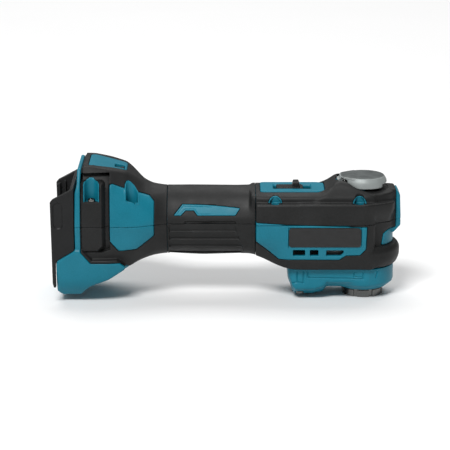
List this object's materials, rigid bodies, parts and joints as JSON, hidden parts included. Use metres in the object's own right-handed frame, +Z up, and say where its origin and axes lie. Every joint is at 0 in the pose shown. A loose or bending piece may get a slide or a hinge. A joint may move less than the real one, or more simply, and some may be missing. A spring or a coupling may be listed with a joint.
{
  "type": "cordless oscillating multi-tool",
  "caption": "Cordless oscillating multi-tool body with slide battery rails, tool-less clamp lever, slide switch and speed dial, without its battery.",
  "frame": {"origin": "middle of the bounding box's base, level with the underside of the tool holder", "axes": "+X along the tool to the nose, +Z up, -Y is the right-hand side, which carries the name plate"},
  "size_m": [0.2946, 0.0792, 0.1165],
  "materials": {
    "teal_plastic": "satin moulded plastic",
    "soft_grip": "fine-grained elastomer",
    "label": "printed foil, left blank",
    "steel": "ground steel",
    "black_plastic": "satin moulded plastic",
    "copper": "enamelled winding wire",
    "board": "circuit board",
    "lead_red": "wire sleeve",
    "lead_white": "wire sleeve",
    "bearing_steel": "ground",
    "brass": "turned",
    "case_metal": "die cast",
    "seal_rubber": "matt",
    "clear": "clear moulding",
    "lever_metal": "painted die casting, bright rim"
  },
  "bodies": {
    "housing": {"housing_upper": "teal_plastic", "housing_lower": "teal_plastic", "rear_overmold_upper": "soft_grip", "rear_overmold_lower": "soft_grip", "grip_overmold_upper": "soft_grip", "grip_overmold_lower": "soft_grip", "front_overmold_upper": "soft_grip", "front_overmold_lower": "soft_grip", "accent_right": "teal_plastic", "accent_left": "teal_plastic", "switch_plate": "teal_plastic", "dial_plate": "teal_plastic", "name_plate": "label", "rear_screw_right": "steel", "rear_screw_left": "steel", "shoulder_screw_right": "steel", "shoulder_screw_left": "steel", "middle_screw_right": "steel", "middle_screw_left": "steel", "front_screw_right": "steel", "front_screw_left": "steel", "battery_rails": "black_plastic", "terminal_block": "black_plastic", "terminal_positive": "copper", "terminal_negative": "copper", "controller": "black_plastic", "dial_potentiometer": "board", "micro_switch": "black_plastic", "lead_positive": "lead_red", "lead_negative": "lead_white", "stator_core": "steel", "winding_rear": "copper", "winding_front": "copper", "motor_bearing_rear": "bearing_steel", "motor_bearing_front": "bearing_steel", "gear_case": "case_metal", "dust_seal": "seal_rubber", "retaining_ring": "steel", "spindle_bearing_lower": "bearing_steel", "spindle_bearing_upper": "bearing_steel", "gear_cover": "teal_plastic", "led_lens": "clear", "cover_screw_right": "steel", "cover_screw_left": "steel"},
    "rotor": {"rotor_shaft": "steel", "rotor_core": "steel", "cooling_fan": "black_plastic", "balance_weight": "brass", "eccentric_bearing": "bearing_steel"},
    "output": {"spindle": "steel", "tool_holder": "steel", "swing_arm": "steel", "clamp_spring": "steel"},
    "clamp": {"clamp_shaft": "steel"},
    "lever": {"lever": "lever_metal", "lever_pin": "steel"},
    "release": {"release_plate": "steel"},
    "switch": {"switch_button": "black_plastic", "switch_rod": "black_plastic"},
    "dial": {"dial_wheel": "black_plastic"}
  },
  "joints": [
    {"name": "lever_hinge", "type": "hinge", "parent": "housing", "child": "lever", "pos_m": [0.0995, 0, 0.0995], "axis": [0, -1, 0], "range_deg": [0, 88]},
    {"name": "release_slide", "type": "slide", "parent": "housing", "child": "release", "axis": [0, 0, -1], "range_m": [0, 0.0016]},
    {"name": "spindle_swing", "type": "hinge", "parent": "housing", "child": "output", "pos_m": [0.116, 0, 0.04], "axis": [0, 0, 1], "range_deg": [-1.8, 1.8]},
    {"name": "clamp_slide", "type": "slide", "parent": "output", "child": "clamp", "axis": [0, 0, -1], "range_m": [0, 0.0016]},
    {"name": "rotor_spin", "type": "hinge", "parent": "housing", "child": "rotor", "pos_m": [0.05, 0, 0.058], "axis": [1, 0, 0], "continuous": true},
    {"name": "switch_slide", "type": "slide", "parent": "housing", "child": "switch", "axis": [1, 0, 0], "range_m": [0, 0.005]},
    {"name": "dial_turn", "type": "hinge", "parent": "housing", "child": "dial", "pos_m": [-0.09, -0.0056, 0.102], "axis": [1, 0, 0], "range_deg": [-135, 135]}
  ],
  "couplings": [
    {"joint": "release_slide", "follows": "lever_hinge", "m_per_rad": 0.00097663},
    {"joint": "clamp_slide", "follows": "lever_hinge", "m_per_rad": 0.00097663}
  ]
}
